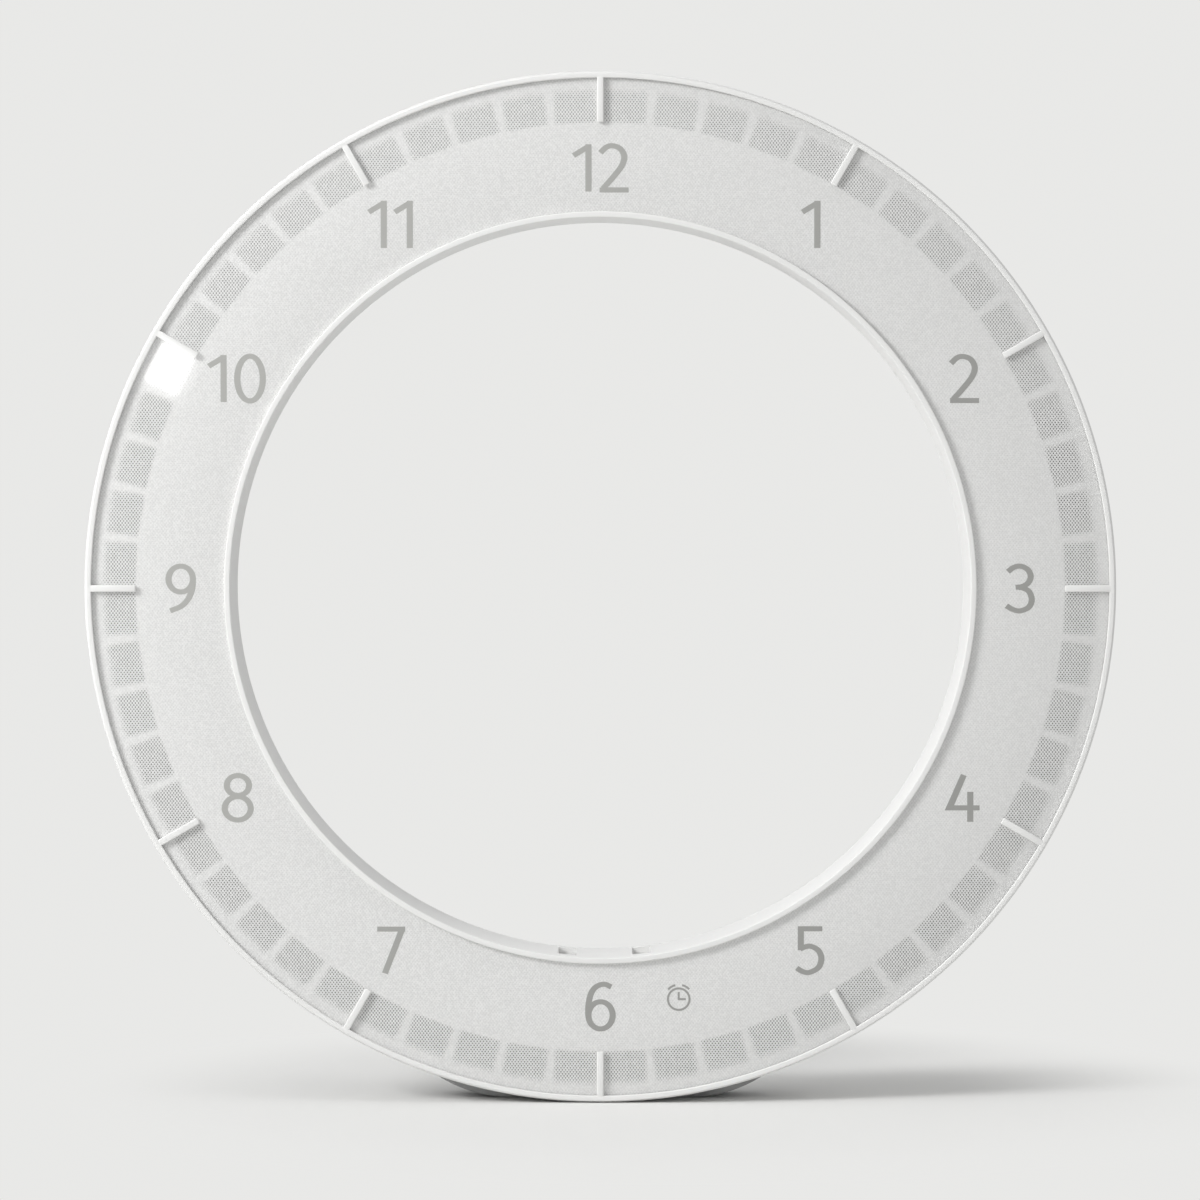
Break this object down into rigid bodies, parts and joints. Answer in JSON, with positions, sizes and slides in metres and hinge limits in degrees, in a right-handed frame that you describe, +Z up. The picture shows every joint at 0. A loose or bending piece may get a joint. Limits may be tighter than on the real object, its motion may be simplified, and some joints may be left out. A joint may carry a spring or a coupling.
{
  "type": "ring clock",
  "caption": "Ring-shaped clock with an open centre, raised hour bars, lamps behind a cloth dial, two push-buttons in the hole's wall and a flat foot.",
  "frame": {"origin": "centre of the part's bounding box on its base plane, below the ring's lowest point", "axes": "+Z up, the dial faces -Y, +X to the right as seen from the front"},
  "size_m": [0.3, 0.025, 0.3],
  "materials": {
    "white_shell": "matte moulded",
    "white_cloth": "plain open weave with grey printed numerals",
    "grey_plate": "matte",
    "milky_sheet": "satin, light-scattering",
    "dark_rubber": "matte",
    "white_key": "matte moulded",
    "black_plastic": "matte",
    "green_board": "satin solder mask",
    "white_board": "satin solder mask",
    "steel": "plain zinc plated",
    "aluminium_can": "satin",
    "gold_link": "bright",
    "grey_ribbon": "satin"
  },
  "bodies": {
    "clock": {"outer_bezel": "white_shell", "inner_sleeve": "white_shell", "main_body": "white_shell", "rear_cover": "white_shell", "light_grid": "white_shell", "dial_fabric": "white_cloth", "window_plate": "grey_plate", "light_diffuser": "milky_sheet", "led_board_1": "white_board", "led_board_2": "white_board", "led_board_3": "white_board", "led_board_4": "white_board", "led_board_screw_1": "steel", "led_board_screw_2": "steel", "led_board_screw_3": "steel", "led_board_screw_4": "steel", "led_link_1": "gold_link", "led_link_2": "gold_link", "led_link_3": "gold_link", "cover_screw_1": "steel", "cover_screw_2": "steel", "cover_screw_3": "steel", "cover_screw_4": "steel", "cover_screw_5": "steel", "cover_screw_6": "steel", "sleeve_screw_1": "steel", "sleeve_screw_2": "steel", "sleeve_screw_3": "steel", "hanger_plate": "steel", "hanger_screw_1": "steel", "hanger_screw_2": "steel", "foot": "dark_rubber", "foot_screw_1": "steel", "foot_screw_2": "steel", "control_board": "green_board", "control_board_screw_1": "steel", "control_board_screw_2": "steel", "control_board_screw_3": "steel", "control_board_screw_4": "steel", "microcontroller": "black_plastic", "voltage_regulator": "black_plastic", "clock_crystal": "steel", "power_capacitor": "aluminium_can", "buzzer": "black_plastic", "cell_holder": "black_plastic", "backup_cell": "steel", "power_socket": "steel", "led_connector": "black_plastic", "button_board": "green_board", "button_board_screw_1": "steel", "button_board_screw_2": "steel", "button_ribbon": "grey_ribbon", "time_switch_body": "steel", "alarm_switch_body": "steel"},
    "time_key": {"time_button": "white_key", "time_switch_stem": "black_plastic"},
    "alarm_key": {"alarm_button": "white_key", "alarm_switch_stem": "black_plastic"}
  },
  "joints": [
    {"name": "time_press", "type": "slide", "parent": "clock", "child": "time_key", "axis": [0, 0, -1], "range_m": [0, 0.0008], "stiffness_N_per_m": 500, "springref_m": -0.001},
    {"name": "alarm_press", "type": "slide", "parent": "clock", "child": "alarm_key", "axis": [0, 0, -1], "range_m": [0, 0.0008], "stiffness_N_per_m": 500, "springref_m": -0.001}
  ]
}
